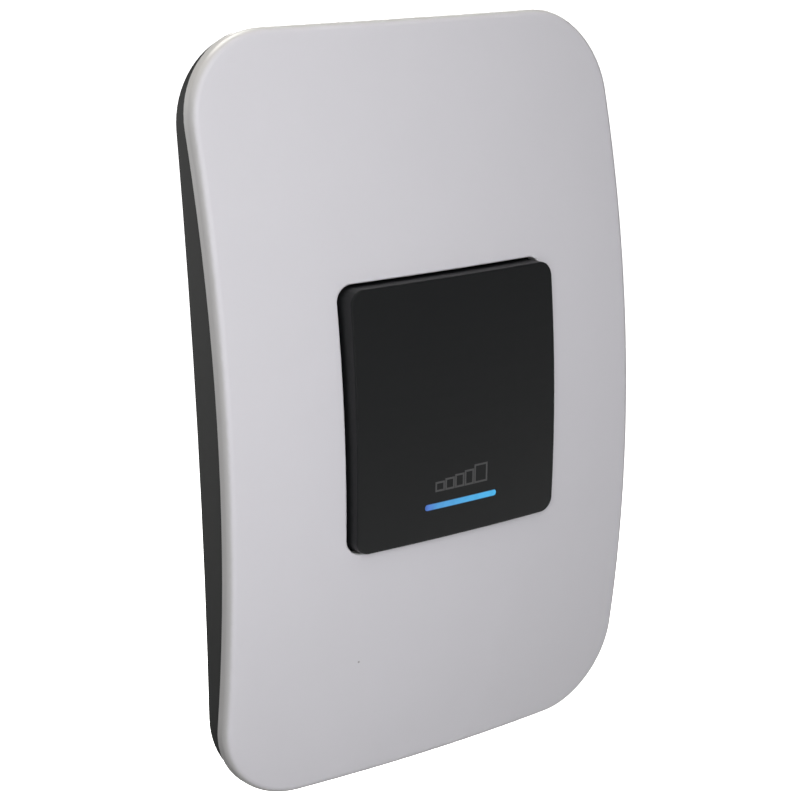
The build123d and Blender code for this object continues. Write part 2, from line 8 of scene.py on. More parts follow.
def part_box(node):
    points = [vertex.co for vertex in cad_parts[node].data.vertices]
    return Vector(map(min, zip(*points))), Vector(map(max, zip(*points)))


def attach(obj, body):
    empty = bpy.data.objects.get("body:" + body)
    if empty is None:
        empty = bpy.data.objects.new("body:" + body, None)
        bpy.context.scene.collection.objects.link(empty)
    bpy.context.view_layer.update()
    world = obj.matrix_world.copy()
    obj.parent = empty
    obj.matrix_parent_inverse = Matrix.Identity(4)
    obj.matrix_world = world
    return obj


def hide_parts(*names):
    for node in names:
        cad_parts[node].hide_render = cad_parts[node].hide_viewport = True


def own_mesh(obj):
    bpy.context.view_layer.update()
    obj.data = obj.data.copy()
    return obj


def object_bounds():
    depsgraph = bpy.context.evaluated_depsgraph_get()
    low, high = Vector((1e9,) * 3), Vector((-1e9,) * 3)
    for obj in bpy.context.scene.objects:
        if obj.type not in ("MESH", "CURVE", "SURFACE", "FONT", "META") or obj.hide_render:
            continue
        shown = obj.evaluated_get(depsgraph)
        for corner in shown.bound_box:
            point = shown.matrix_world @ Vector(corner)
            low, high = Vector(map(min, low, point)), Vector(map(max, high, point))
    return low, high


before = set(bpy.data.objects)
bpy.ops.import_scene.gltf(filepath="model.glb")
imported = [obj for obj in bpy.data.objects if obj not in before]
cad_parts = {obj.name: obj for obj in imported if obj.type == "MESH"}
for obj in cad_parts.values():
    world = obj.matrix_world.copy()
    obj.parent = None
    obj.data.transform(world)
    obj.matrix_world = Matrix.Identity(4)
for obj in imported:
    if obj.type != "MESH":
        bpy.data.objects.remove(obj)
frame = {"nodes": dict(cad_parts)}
cad_box = [list(corner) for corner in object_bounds()]

bl_info = {
    "name": "Pushbutton dimmer",
    "version": (1, 0, 0),
    "blender": (4, 5, 0),
    "location": "3D View > Sidebar > Dimmer",
    "description": "Finishes the pieces of a wall dimmer and sets them in a plain studio",
    "category": "Object",
}

MM = 0.001
FIXED = "fixed"
WELD_REACH = 0.0005 * MM
SLIVER = 0.001 * MM
TOOL_MARKS = (300.0, 9000.0, 300.0)
MARK_DEPTH = 0.004 * MM
FLOAT = "NodeSocketFloat"
COLOUR = "NodeSocketColor"
SURFACE = {"Colour": COLOUR, "Roughness": FLOAT, "Height": FLOAT}


def colour(name, text, value):
    """A colour that the user can change."""
    return FloatVectorProperty(
        name=name, description=text, default=value, size=3, min=0.0, soft_max=1.0, subtype="COLOR"
    )


def length(name, text, value):
    """A length in metres."""
    return FloatProperty(
        name=name, description=text, default=value, min=0.0, subtype="DISTANCE", unit="LENGTH"
    )


def share(name, text, value):
    """A share from 0 to 1."""
    return FloatProperty(
        name=name, description=text, default=value, min=0.0, max=1.0, subtype="FACTOR"
    )


def power(name, text, value):
    """The power of a lamp in watts."""
    return FloatProperty(name=name, description=text, default=value, min=0.0, unit="POWER")


def strength(name, text, value):
    """The strength of a glow."""
    return FloatProperty(name=name, description=text, default=value, min=0.0)


class CoverSettings(bpy.types.PropertyGroup):
    """Finish of the pale plate and of the black frame behind it"""

    plate: colour("Plate", "Pale lilac grey of the plate", (0.62, 0.61, 0.65))
    # painted shade: the darker rim tone stands for the light falling off on the plate's side-facing
    # fillet
    rim: colour("Rim", "Bare moulding round the plate's painted face", (0.475, 0.469, 0.472))
    plate_roughness: share("Plate roughness", "Satin of the plate", 0.42)
    rim_roughness: share("Rim roughness", "Gloss of the bare moulding", 0.34)
    grain: length("Grain", "Width of the mould's fine grain", 0.16 * MM)
    grain_depth: length("Grain depth", "Depth of the mould's fine grain", 0.004 * MM)
    frame: colour("Frame", "Black of the frame on the wall", (0.034, 0.0352, 0.0358))
    frame_roughness: share("Frame roughness", "Satin of the frame", 0.45)
    frame_gloss: share("Frame gloss", "How strongly the frame mirrors the room", 0.08)


class ButtonSettings(bpy.types.PropertyGroup):
    """Finish of the paddle, its level symbol and its light bar"""

    face: colour("Paddle", "Charcoal of the paddle", (0.0078, 0.0084, 0.0092))
    roughness: share("Roughness", "Satin of the paddle", 0.5)
    gloss: share("Gloss", "How strongly the paddle mirrors the room", 0.25)
    grain: length("Grain", "Width of the paddle's fine grain", 0.12 * MM)
    grain_depth: length("Grain depth", "Depth of the paddle's fine grain", 0.004 * MM)
    symbol: colour("Symbol", "Grey ink of the level symbol", (0.07, 0.07, 0.072))
    glow_left: colour("Left glow", "Violet blue at the left end of the bar", (0.06, 0.16, 0.57))
    glow_middle: colour("Middle glow", "Blue in the middle of the bar", (0.06, 0.30, 0.63))
    glow_right: colour("Right glow", "Cyan blue at the right end of the bar", (0.05, 0.46, 0.83))
    glow: strength("Glow", "Strength of the light bar", 0.9)


class HousingSettings(bpy.types.PropertyGroup):
    """Finish of what sits in the wall box"""

    chassis: colour("Chassis", "Black of the deck under the paddle", (0.012, 0.012, 0.013))
    housing: colour("Housing", "Dark grey of the box", (0.036, 0.037, 0.040))
    grain: length("Grain", "Width of the box's spark grain", 0.35 * MM)
    zinc: colour("Zinc", "Zinc plate on the screws", (0.62, 0.61, 0.57))
    oxide: colour("Black oxide", "Black oxide on the housing screws", (0.05, 0.05, 0.055))
    brass: colour("Brass", "Brass of the clamps", (0.62, 0.43, 0.16))
    thread_pitch: length("Thread pitch", "Pitch of the wall screws", 0.79 * MM)
    thread_height: length("Thread height", "Height of the thread on the wall screws", 0.35 * MM)
    spring: colour("Spring", "Bright steel of the return springs", (0.55, 0.55, 0.56))
    spring_wire: length("Spring wire", "Radius of the springs' wire", 0.3 * MM)
    spring_turns: IntProperty(
        name="Spring turns", description="Turns of each return spring", default=5, min=2
    )


class BoardSettings(bpy.types.PropertyGroup):
    """Colours of the board and of what is soldered to it"""

    mask: colour("Solder mask", "Green lacquer on the board", (0.006, 0.060, 0.020))
    track: colour("Tracks", "Green lacquer over the copper", (0.014, 0.110, 0.036))
    laminate: colour("Laminate", "Sawn edge of the board", (0.30, 0.27, 0.12))
    tin: colour("Tin", "Tinned pads and leads", (0.60, 0.60, 0.58))
    resin: colour("Resin", "Black resin of the chip and the transistors", (0.010, 0.010, 0.010))
    plunger: colour("Plunger", "Red of the switch's plunger", (0.26, 0.010, 0.008))
    ferrite: colour("Ferrite", "Sintered core of the choke", (0.018, 0.018, 0.020))
    copper: colour("Copper", "Enamelled wire of the choke", (0.60, 0.20, 0.06))
    film: colour("Film case", "Yellow case of the film capacitor", (0.52, 0.34, 0.015))
    sleeve: colour("Sleeve", "Dark blue sleeve of the supply capacitor", (0.006, 0.010, 0.033))
    fuse: colour("Fuse case", "Brown case of the fuse", (0.075, 0.014, 0.006))
    lacquer: colour("Resistor", "Beige lacquer of the resistors", (0.33, 0.21, 0.105))
    aluminium: colour("Aluminium", "Mill finish of the heat sink", (0.55, 0.55, 0.57))


class StageSettings(bpy.types.PropertyGroup):
    """Floor, light and camera"""

    floor: colour("Floor", "Pale floor", (0.9, 0.9, 0.9))
    floor_drop: length("Floor drop", "How far the floor lies under the plate", 0.25)
    floor_glow: strength("Floor glow", "How far the floor is washed out", 1.3)
    floor_shine: strength("Floor shine", "How bright the open floor is in the gloss", 0.22)
    floor_shade: colour("Floor shade", "The shaded floor in the gloss", (0.2, 0.2, 0.2))
    shade_inner: length("Shade inner", "Radius at which the floor's shade starts to fade", 0.25)
    shade_outer: length("Shade outer", "Radius at which the floor's shade ends", 0.75)
    room: strength("Room light", "Strength of the even light", 0.115)
    camera_side: power("Camera side", "Power of the soft light beside the camera", 1.09)
    front: power("Front", "Power of the soft light straight in front", 0.21)
    upper_left: power("Upper left", "Power of the warm light high on the left", 2.4)
    overhead: power("Overhead", "Power of the warm light above and behind", 9.0)
    rear_left: power("Rear left", "Power of the soft light behind, to the left", 1.45)
    rear_right: power("Rear right", "Power of the soft light behind, to the right", 6.0)
    near: length("Near lights", "Distance of the lights in front", 0.4)
    near_size: length("Near size", "Width of the lights in front", 0.25)
    far: length("Far lights", "Distance of the lights round about", 1.0)
    far_size: length("Far size", "Width of the lights round about", 0.6)
    wide_size: length("Wide size", "Width of the light high on the left", 1.1)
    lens: FloatProperty(
        name="Lens",
        description="Focal length on a 36 mm sensor",
        default=91.98,
        min=1.0,
        subtype="DISTANCE_CAMERA",
    )


# Node helpers


def node(tree, kind, inputs=None, **settings):
    """One node with its settings, and its inputs either set or linked."""
    made = tree.nodes.new(kind)
    for name, value in settings.items():
        setattr(made, name, value)
    for key, value in (inputs or {}).items():
        if isinstance(value, bpy.types.NodeSocket):
            tree.links.new(value, made.inputs[key])
        else:
            made.inputs[key].default_value = value
    return made


def maths(operation, first, second=0.0, third=0.0):
    """The value of a Math node, in the tree of the sockets that it takes."""
    inputs = {0: first, 1: second, 2: third}
    sockets = [value for value in inputs.values() if isinstance(value, bpy.types.NodeSocket)]
    made = node(sockets[0].id_data, "ShaderNodeMath", inputs, operation=operation)
    return made.outputs["Value"]


def below(value, limit):
    """A mask of the values below a limit."""
    return maths("LESS_THAN", value, limit)


def above(value, limit):
    """A mask of the values above a limit."""
    return maths("GREATER_THAN", value, limit)


def both(first, second):
    """Where two masks meet."""
    return maths("MULTIPLY", first, second)


def between(value, low, high):
    """A mask of the values from low to high."""
    return both(above(value, low), below(value, high))


def outside(mask):
    """The rest of a mask."""
    return maths("SUBTRACT", 1.0, mask)


def off_centre(across, along, centre_across, centre_along):
    """How far a point lies from an axis, measured in the plane across it."""
    first = maths("SUBTRACT", across, centre_across)
    second = maths("SUBTRACT", along, centre_along)
    squares = [maths("MULTIPLY", side, side) for side in (first, second)]
    return maths("SQRT", maths("ADD", *squares))


def repeated(value, pitch):
    """The place within one of a row of like parts, from its middle."""
    return maths("WRAP", value, pitch / 2, -pitch / 2)


def climb(value, start, end, kind="LINEAR"):
    """A value that climbs from 0 at the start to 1 at the end."""
    inputs = {"Value": value, "From Min": start, "From Max": end}
    made = node(value.id_data, "ShaderNodeMapRange", inputs, interpolation_type=kind)
    return made.outputs["Result"]


def noise(place, scale, detail, distortion=0.0):
    """A cloudy value about a half."""
    inputs = {"Vector": place, "Scale": scale, "Detail": detail, "Distortion": distortion}
    return node(place.id_data, "ShaderNodeTexNoise", inputs).outputs["Fac"]


def scaled(vector, gain):
    """A colour or a place times a number."""
    inputs = {0: vector, "Scale": gain}
    made = node(vector.id_data, "ShaderNodeVectorMath", inputs, operation="SCALE")
    return made.outputs["Vector"]


def solid(tone):
    """A tone with its alpha, or the socket that gives it."""
    return tone if isinstance(tone, bpy.types.NodeSocket) else (*tone, 1.0)


def mixed_colour(factor, first, second):
    """Two colours mixed by a factor. A Mix node has its colours at inputs 6 and 7 and output 2."""
    inputs = {0: factor, 6: solid(first), 7: solid(second)}
    return node(factor.id_data, "ShaderNodeMix", inputs, data_type="RGBA").outputs[2]


def ramp(factor, stops):
    """A colour ramp with its stops as place and tone."""
    made = node(factor.id_data, "ShaderNodeValToRGB", {"Fac": factor})
    elements = made.color_ramp.elements
    while len(elements) < len(stops):
        elements.new(1.0)
    for element, (place, tone) in zip(elements, stops):
        element.position = place
        element.color = solid(tone)
    return made.outputs["Color"]


def object_place(tree):
    """The place on the object."""
    return node(tree, "ShaderNodeTexCoord").outputs["Object"]


def object_axes(tree):
    """The place on the object as three sockets."""
    return node(tree, "ShaderNodeSeparateXYZ", {"Vector": object_place(tree)}).outputs


def connect(end, **sockets):
    """Links sockets to the inputs of a node."""
    for label, socket in sockets.items():
        end.id_data.links.new(socket, end.inputs[label.replace("_", " ")])


def feeding(end, label):
    """The socket that feeds an input of a node."""
    return end.inputs[label].links[0].from_socket


def new_group(name, inputs, outputs):
    """An empty node group, what it is given and its end."""
    tree = bpy.data.node_groups.new(name, "ShaderNodeTree")
    for label, kind, value in inputs:
        made = tree.interface.new_socket(label, in_out="INPUT", socket_type=kind)
        made.default_value = value
    for label, kind in outputs.items():
        tree.interface.new_socket(label, in_out="OUTPUT", socket_type=kind)
    given = tree.nodes.new("NodeGroupInput").outputs
    return tree, given, tree.nodes.new("NodeGroupOutput")


def moulded_surface():
    """Fine mould grain, with a slight drift of colour and gloss over the moulding."""
    inputs = [
        ("Colour", COLOUR, (0.5, 0.5, 0.5, 1.0)),
        ("Variation", FLOAT, 0.05),
        ("Roughness", FLOAT, 0.4),
        ("Roughness Spread", FLOAT, 0.05),
        ("Grain", FLOAT, 0.2 * MM),
    ]
    tree, given, end = new_group("moulded_surface", inputs, SURFACE)
    place = object_place(tree)
    grain_share = 0.5
    fine = noise(place, maths("DIVIDE", 1.0, given["Grain"]), detail=2.0)
    flow = noise(place, scale=70.0, detail=3.0, distortion=0.6)
    drift = maths("ADD", flow, maths("MULTIPLY", fine, grain_share))
    drift = maths("SUBTRACT", drift, (1.0 + grain_share) / 2)
    gain = maths("MULTIPLY_ADD", drift, given["Variation"], 1.0)
    rough = maths("MULTIPLY_ADD", drift, given["Roughness Spread"], given["Roughness"])
    connect(end, Colour=scaled(given["Colour"], gain), Roughness=rough, Height=fine)
    return tree


def specks():
    """Sparse round specks, as a mask."""
    inputs = [("Spacing", FLOAT, 9 * MM), ("Size", FLOAT, 0.2 * MM), ("Share", FLOAT, 0.3)]
    tree, given, end = new_group("specks", inputs, {"Mask": FLOAT})
    scale = maths("DIVIDE", 1.0, given["Spacing"])
    cell = {"Vector": object_place(tree), "Scale": scale}
    cells = node(tree, "ShaderNodeTexVoronoi", cell).outputs
    chance = node(tree, "ShaderNodeSeparateColor", {"Color": cells["Color"]}).outputs
    size = maths("MULTIPLY", given["Size"], chance["Green"])
    near = below(cells["Distance"], maths("DIVIDE", size, given["Spacing"]))
    connect(end, Mask=both(near, below(chance["Red"], given["Share"])))
    return tree


def turned_metal():
    """Fine tool marks along one axis, with a drift of tint where the plating varies."""
    inputs = [
        ("Colour", COLOUR, (0.6, 0.6, 0.6, 1.0)),
        ("Tint", COLOUR, (0.6, 0.55, 0.45, 1.0)),
        ("Roughness", FLOAT, 0.3),
        ("Marks", "NodeSocketVector", TOOL_MARKS),
    ]
    tree, given, end = new_group("turned_metal", inputs, SURFACE)
    place = object_place(tree)
    stretch = {0: place, 1: given["Marks"]}
    stretched = node(tree, "ShaderNodeVectorMath", stretch, operation="MULTIPLY")
    marks = noise(stretched.outputs["Vector"], scale=1.0, detail=3.0)
    stain = noise(place, scale=350.0, detail=4.0)
    mark_gain = 0.25
    mark_middle = 0.12
    smoothest = maths("SUBTRACT", given["Roughness"], mark_middle)
    rough = maths("MULTIPLY_ADD", marks, mark_gain, smoothest)
    tone = mixed_colour(stain, given["Colour"], given["Tint"])
    connect(end, Colour=tone, Roughness=rough, Height=marks)
    return tree


def new_material(name):
    """An empty material, its tree and its shader."""
    material = bpy.data.materials.new(name)
    material.use_nodes = True
    tree = material.node_tree
    return material, tree, tree.nodes["Principled BSDF"]


def place_group(tree, build, **values):
    """A shared node group, built at its first use, with its inputs set, as its outputs."""
    group = bpy.data.node_groups.get(build.__name__) or build()
    return node(tree, "ShaderNodeGroup", values, node_tree=group).outputs


def bump(shader, height, depth):
    """Relief of a height."""
    relief = node(shader.id_data, "ShaderNodeBump", {"Height": height, "Distance": depth})
    connect(shader, Normal=relief.outputs["Normal"])


def surfaced(name, build, depth, **values):
    """A material with the colour, roughness and relief of a shared node group."""
    material, tree, shader = new_material(name)
    surface = place_group(tree, build, **values)
    connect(shader, Base_Color=surface["Colour"], Roughness=surface["Roughness"])
    if depth:
        bump(shader, surface["Height"], depth)
    return material, tree, shader


def moulded(name, tone, roughness, grain, depth=0.0, variation=0.06, gloss=0.5):
    """A moulded plastic: its own grain, tone and gloss."""
    values = {"Colour": solid(tone), "Variation": variation, "Roughness": roughness, "Grain": grain}
    material, tree, shader = surfaced(name, moulded_surface, depth, **values)
    shader.inputs["Specular IOR Level"].default_value = gloss
    return material, tree, shader


def metal(name, tone, tint, roughness, marks=TOOL_MARKS):
    """A worked metal: tool marks and a drift of tint."""
    values = {"Colour": solid(tone), "Tint": solid(tint), "Roughness": roughness, "Marks": marks}
    material, _, shader = surfaced(name, turned_metal, MARK_DEPTH, **values)
    shader.inputs["Metallic"].default_value = 1.0
    return material


def zinc_plated(name, look):
    """Zinc plate with a yellow drift."""
    return metal(name, look.zinc, tint=(0.66, 0.60, 0.44), roughness=0.32)


def overlay(shader, mask, tone):
    """Lays a tone over the shader's colour where a mask is set."""
    connect(shader, Base_Color=mixed_colour(mask, feeding(shader, "Base Color"), tone))


def dress(node_name, material):
    """Gives a CAD node its finish."""
    slots = frame["nodes"][node_name].data.materials
    slots.clear()
    slots.append(material)


# Modelling helpers


def deselect():
    """Leaves edit mode and clears the selection."""
    if bpy.context.object and bpy.context.object.mode != "OBJECT":
        bpy.ops.object.mode_set(mode="OBJECT")
    bpy.ops.object.select_all(action="DESELECT")


def activate(obj):
    """Makes a piece the only selected one."""
    deselect()
    obj.select_set(True)
    bpy.context.view_layer.objects.active = obj


def freeze(obj):
    """Moves a piece's place, turn and size into its mesh."""
    activate(obj)
    bpy.ops.object.transform_apply(location=True, rotation=True, scale=True)


def edit(obj):
    """Opens a piece in edit mode with all of it selected."""
    activate(obj)
    bpy.ops.object.mode_set(mode="EDIT")
    bpy.ops.mesh.select_all(action="SELECT")


def start_point(name, place):
    """A new mesh of one vertex, in edit mode, ready to be extruded."""
    deselect()
    bpy.ops.mesh.primitive_plane_add(size=MM, location=place)
    obj = bpy.context.object
    obj.name = name
    obj.data.name = name
    edit(obj)
    bpy.ops.mesh.merge(type="CENTER")
    return obj


def draw_profile(steps):
    """Extrudes the selected vertex along a row of steps."""
    for step in steps:
        bpy.ops.mesh.extrude_region_move(TRANSFORM_OT_translate={"value": step})


def select_faces(obj, wanted):
    """Selects, in edit mode, the faces that pass a test."""
    bpy.ops.mesh.select_mode(type="FACE")
    bpy.ops.mesh.select_all(action="DESELECT")
    mesh = bmesh.from_edit_mesh(obj.data)
    for face in mesh.faces:
        face.select_set(wanted(face))
    bmesh.update_edit_mesh(obj.data)


def apply_modifier(obj, kind, **settings):
    """Adds a modifier and applies it."""
    activate(obj)
    modifier = obj.modifiers.new(kind.title(), kind)
    for name, value in settings.items():
        setattr(modifier, name, value)
    bpy.ops.object.modifier_apply(modifier=modifier.name)


def weld(obj, open_ends=False):
    """Merges double points, fills open rims where there are any, and turns all faces outwards."""
    edit(obj)
    bpy.ops.mesh.remove_doubles(threshold=WELD_REACH)
    if open_ends:
        bpy.ops.mesh.select_all(action="DESELECT")
        bpy.ops.mesh.select_mode(type="EDGE")
        bpy.ops.mesh.select_non_manifold(
            extend=False, use_wire=False, use_multi_face=False, use_verts=False
        )
        bpy.ops.mesh.fill()
        bpy.ops.mesh.select_mode(type="VERT")
    bpy.ops.mesh.select_all(action="SELECT")
    bpy.ops.mesh.normals_make_consistent(inside=False)
    bpy.ops.object.mode_set(mode="OBJECT")


def helix(obj, pitch, turns, steps):
    """Winds a drawn section round the Y axis and closes both ends."""
    apply_modifier(
        obj,
        "SCREW",
        axis="Y",
        angle=2 * math.pi,
        screw_offset=pitch,
        iterations=turns,
        steps=steps,
        render_steps=steps,
        use_merge_vertices=True,
        merge_threshold=WELD_REACH,
    )
    weld(obj, open_ends=True)


def lathe(name, start, outline, steps):
    """Turns an outline of radius and place round the Y axis."""
    obj = start_point(name, (*start, 0.0))
    before = start
    for radius, place in outline:
        draw_profile([(radius - before[0], place - before[1], 0.0)])
        before = (radius, place)
    freeze(obj)
    edit(obj)
    bpy.ops.mesh.spin(steps=steps, angle=2 * math.pi, center=(0, 0, 0), axis=(0, 1, 0))
    weld(obj)
    return obj


def join(obj, tool, operation):
    """Adds a tool piece to a piece, or cuts it out, and clears the slivers this leaves."""
    apply_modifier(obj, "BOOLEAN", object=tool, operation=operation, solver="EXACT")
    bpy.data.objects.remove(tool)
    edit(obj)
    bpy.ops.mesh.dissolve_degenerate(threshold=SLIVER)
    bpy.ops.object.mode_set(mode="OBJECT")


def copied(obj, name):
    """A second piece with a mesh of its own."""
    other = obj.copy()
    other.data = obj.data.copy()
    other.name = name
    other.data.name = name
    bpy.context.scene.collection.objects.link(other)
    return other


def settle(obj, material, angle):
    """Puts the finished mesh in the shared frame, smooth but for its sharp edges."""
    freeze(obj)
    bpy.ops.object.shade_smooth_by_angle(angle=math.radians(angle))
    obj.data.materials.clear()
    obj.data.materials.append(material)


class DIMMER_OT_cover_plate(bpy.types.Operator):
    """Give the cover plate its pale satin, with painted shade on the rim where its fillet turns
    away from the light
    """

    bl_idname = "dimmer.cover_plate"
    bl_label = "Cover plate"

    # leans of the normal where the rim's painted shade starts and where it is full
    painted_lean = -0.94
    bare_lean = -0.55
    variation = 0.03
    dust = {"Spacing": 9.25 * MM, "Size": 0.24 * MM, "Share": 0.22}
    dust_tone = (0.33, 0.32, 0.33)

    def execute(self, context):
        look = context.scene.dimmer_cover
        material, tree, shader = moulded(
            "satin_cover",
            look.plate,
            look.plate_roughness,
            look.grain,
            look.grain_depth,
            self.variation,
        )
        facing = node(tree, "ShaderNodeTexCoord").outputs["Normal"]
        lean = node(tree, "ShaderNodeSeparateXYZ", {"Vector": facing}).outputs["Y"]
        # painted shade: the rim tone fades in as the normal turns from the front to the side; the
        # same mask also gives the rim its own gloss
        side_shaded = climb(lean, self.painted_lean, self.bare_lean, "SMOOTHSTEP")
        dust = place_group(tree, specks, **self.dust)["Mask"]
        overlay(shader, side_shaded, look.rim)
        overlay(shader, dust, self.dust_tone)
        change = look.rim_roughness - look.plate_roughness
        rough = maths("MULTIPLY_ADD", side_shaded, change, feeding(shader, "Roughness"))
        connect(shader, Roughness=rough)
        dress("cover_plate", material)
        return {"FINISHED"}


class DIMMER_OT_base_frame(bpy.types.Operator):
    """Give the frame on the wall its black satin"""

    bl_idname = "dimmer.base_frame"
    bl_label = "Base frame"

    def execute(self, context):
        look = context.scene.dimmer_cover
        material = moulded(
            "black_frame_satin",
            look.frame,
            look.frame_roughness,
            grain=0.22 * MM,
            depth=0.004 * MM,
            gloss=look.frame_gloss,
        )[0]
        dress("base_frame", material)
        return {"FINISHED"}


class DIMMER_OT_push_button(bpy.types.Operator):
    """Give the paddle its charcoal satin"""

    bl_idname = "dimmer.push_button"
    bl_label = "Push button"

    front_lean = -0.985

    def execute(self, context):
        look = context.scene.dimmer_button
        material, tree, shader = moulded(
            "charcoal_paddle",
            look.face,
            look.roughness,
            look.grain,
            look.grain_depth,
            variation=0.12,
            gloss=look.gloss,
        )
        connect(feeding(shader, "Normal").node, Normal=self.even_front(tree))
        dress("push_button", material)
        return {"FINISHED"}

    def even_front(self, tree):
        """Flat normals on the broad front, which the symbol's edges would tint, else round ones."""
        surface = node(tree, "ShaderNodeNewGeometry").outputs
        lean = node(tree, "ShaderNodeSeparateXYZ", {"Vector": surface["True Normal"]}).outputs["Y"]
        front = below(lean, self.front_lean)
        picked = {0: front, 4: surface["Normal"], 5: surface["True Normal"]}
        return node(tree, "ShaderNodeMix", picked, data_type="VECTOR").outputs[1]


class DIMMER_OT_level_symbol(bpy.types.Operator):
    """Ink the level symbol"""

    bl_idname = "dimmer.level_symbol"
    bl_label = "Level symbol"

    def execute(self, context):
        look = context.scene.dimmer_button
        material = moulded(
            "symbol_ink",
            look.symbol,
            roughness=0.55,
            grain=0.08 * MM,
            depth=0.003 * MM,
            variation=0.25,
            gloss=look.gloss,
        )[0]
        dress("level_symbol", material)
        return {"FINISHED"}


class DIMMER_OT_light_bar(bpy.types.Operator):
    """Light the bar, from violet blue on its left to cyan on its right"""

    bl_idname = "dimmer.light_bar"
    bl_label = "Light bar"

    tip_place = 0.02
    left_place = 0.09
    middle_place = 0.2
    right_place = 0.92
    tip_dim = 0.35
    streak_scale = 900.0
    streak_depth = 0.25
    core_half = 0.40 * MM
    edge_half = 0.53 * MM
    front_share = 0.9
    dark = (0.03, 0.05, 0.09)
    light = (0.04, 0.07, 0.12)
    roughness = 0.35

    def execute(self, context):
        look = context.scene.dimmer_button
        material, tree, shader = new_material("lit_bar")
        low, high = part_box("light_guide")
        axes = object_axes(tree)
        stops = [
            (self.tip_place, tuple(self.tip_dim * part for part in look.glow_left)),
            (self.left_place, look.glow_left),
            (self.middle_place, look.glow_middle),
            (self.right_place, look.glow_right),
        ]
        tone = ramp(climb(axes["X"], low.x, high.x), stops)
        streaks = noise(object_place(tree), self.streak_scale, detail=2.0)
        dimmest = 1.0 - self.streak_depth / 2
        shine = maths("MULTIPLY_ADD", streaks, self.streak_depth, dimmest)
        rise = maths("SUBTRACT", axes["Z"], (low.z + high.z) / 2)
        core = climb(maths("ABSOLUTE", rise), self.edge_half, self.core_half)
        front = below(axes["Y"], high.y + (low.y - high.y) * self.front_share)
        glow = both(shine, both(core, front))
        shade = ramp(streaks, [(0.3, self.dark), (0.7, self.light)])
        connect(shader, Emission_Color=scaled(tone, glow), Base_Color=shade)
        shader.inputs["Emission Strength"].default_value = look.glow
        shader.inputs["Roughness"].default_value = self.roughness
        shader.inputs["Specular IOR Level"].default_value = look.gloss
        dress("light_guide", material)
        return {"FINISHED"}


class DIMMER_OT_housing(bpy.types.Operator):
    """Finish the deck under the paddle and the box behind it"""

    bl_idname = "dimmer.housing"
    bl_label = "Chassis and housing"

    def execute(self, context):
        look = context.scene.dimmer_housing
        chassis = moulded(
            "chassis_black", look.chassis, roughness=0.5, grain=0.2 * MM, depth=0.005 * MM
        )[0]
        housing = moulded(
            "housing_grey", look.housing, 0.48, look.grain, depth=0.02 * MM, variation=0.15
        )[0]
        dress("front_chassis", chassis)
        dress("rear_housing", housing)
        return {"FINISHED"}


class DIMMER_OT_wall_screws(bpy.types.Operator):
    """Model the two wall screws, with a rolled thread and a cross recess"""

    bl_idname = "dimmer.wall_screws"
    bl_label = "Wall screws"

    head_radius = 3.6 * MM
    head_height = 2.4 * MM
    dome = [(0.62, 0.0), (0.86, 0.14), (0.97, 0.36), (1.0, 0.6), (1.0, 1.0)]
    core_radius = 1.6 * MM
    plain_neck = 1.0 * MM
    tip_bevel = 0.4 * MM
    ridge_bite = 0.06 * MM
    flank_share = 0.4
    crest_share = 0.1
    recess_length = 4.3 * MM
    recess_width = 0.9 * MM
    recess_depth = 1.4 * MM
    recess_taper = 0.6
    sides = 36
    ridge_steps = 40
    sharp_angle = 30.0

    def execute(self, context):
        look = context.scene.dimmer_housing
        low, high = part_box("fixing_screws")
        zinc = zinc_plated("zinc_wall_screw", look)
        upper = self.shank(low.y, high.y)
        join(upper, self.ridge(look, high.y), "UNION")
        arm = (self.recess_length, self.recess_width)
        for across, along in (arm, reversed(arm)):
            join(upper, self.slot(low.y, across, along), "DIFFERENCE")
        upper.name = "wall_screw_upper"
        lower = copied(upper, "wall_screw_lower")
        upper.location.z = high.z - self.head_radius
        lower.location.z = low.z + self.head_radius
        for screw in (upper, lower):
            settle(screw, zinc, self.sharp_angle)
            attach(screw, FIXED)
            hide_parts("fixing_screws")
        return {"FINISHED"}

    def shank(self, front, tip):
        """Pan head and bare core, turned in one, with a bevelled tip."""
        outline = [
            (radius * self.head_radius, front + depth * self.head_height)
            for radius, depth in self.dome
        ]
        outline += [
            (self.core_radius, front + self.head_height),
            (self.core_radius, tip - self.tip_bevel),
            (self.core_radius - self.tip_bevel, tip),
            (0.0, tip),
        ]
        return lathe("shank", (0.0, front), outline, self.sides)

    def ridge(self, look, tip):
        """The rolled thread, a closed ridge that bites a little into the core."""
        pitch = look.thread_pitch
        height = look.thread_height
        flank = pitch * self.flank_share
        crest = pitch * self.crest_share
        width = 2 * flank + crest
        foot = self.core_radius - self.ridge_bite
        ridge = start_point("ridge", (foot, self.plain_neck, 0.0))
        draw_profile([(self.ridge_bite, 0, 0), (height, flank, 0), (0, crest, 0)])
        draw_profile([(-height, flank, 0), (-self.ridge_bite, 0, 0), (0, -width, 0)])
        bpy.ops.mesh.select_all(action="SELECT")
        bpy.ops.mesh.remove_doubles(threshold=WELD_REACH)
        freeze(ridge)
        room = tip - self.tip_bevel - self.plain_neck - width
        helix(ridge, pitch, math.floor(room / pitch), self.ridge_steps)
        return ridge

    def slot(self, front, across, along):
        """One arm of the cross recess, narrower at its floor."""
        deselect()
        size = (across, 2 * self.recess_depth, along)
        bpy.ops.mesh.primitive_cube_add(size=1.0, location=(0, front, 0), scale=size)
        arm = bpy.context.object
        freeze(arm)
        edit(arm)
        select_faces(arm, lambda face: face.normal.y > 0.5)
        taper = (self.recess_taper, 1.0, self.recess_taper)
        bpy.ops.transform.resize(value=taper, center_override=(0, front + self.recess_depth, 0))
        bpy.ops.object.mode_set(mode="OBJECT")
        return arm


